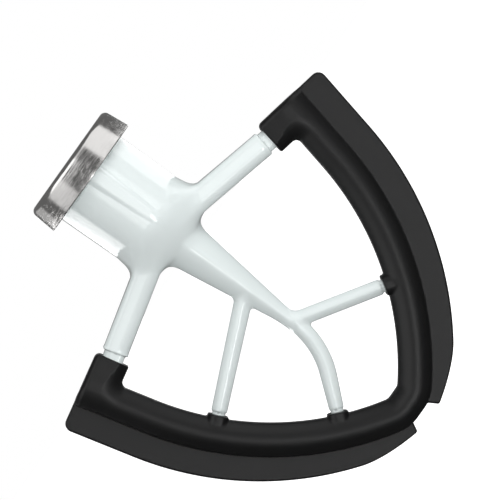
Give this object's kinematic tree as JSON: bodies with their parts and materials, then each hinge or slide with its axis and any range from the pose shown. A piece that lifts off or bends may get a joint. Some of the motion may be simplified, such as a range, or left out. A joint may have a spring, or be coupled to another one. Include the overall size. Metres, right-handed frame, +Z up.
{
  "type": "stand mixer flat beater",
  "caption": "Flat beater for a stand mixer: a coated hub with arms and spokes, a steel collar, and a soft scraper tube with thin wiping wings round its rim.",
  "frame": {"origin": "middle of the shaft socket's mouth, at the top of the hub", "axes": "+Z up along the drive axis, out of the socket's mouth; X across the blade; -Y is the front, the side with the ridge of the pin slot"},
  "size_m": [0.1402, 0.0412, 0.142],
  "materials": {
    "coating": "glossy pale coating on cast aluminium",
    "steel": "stainless steel, brushed round its side and polished at its top corner",
    "silicone": "moulded black silicone with a satin skin"
  },
  "bodies": {
    "root": {"beater_frame": "coating", "hub_collar": "steel", "silicone_scraper": "silicone"}
  },
  "joints": []
}
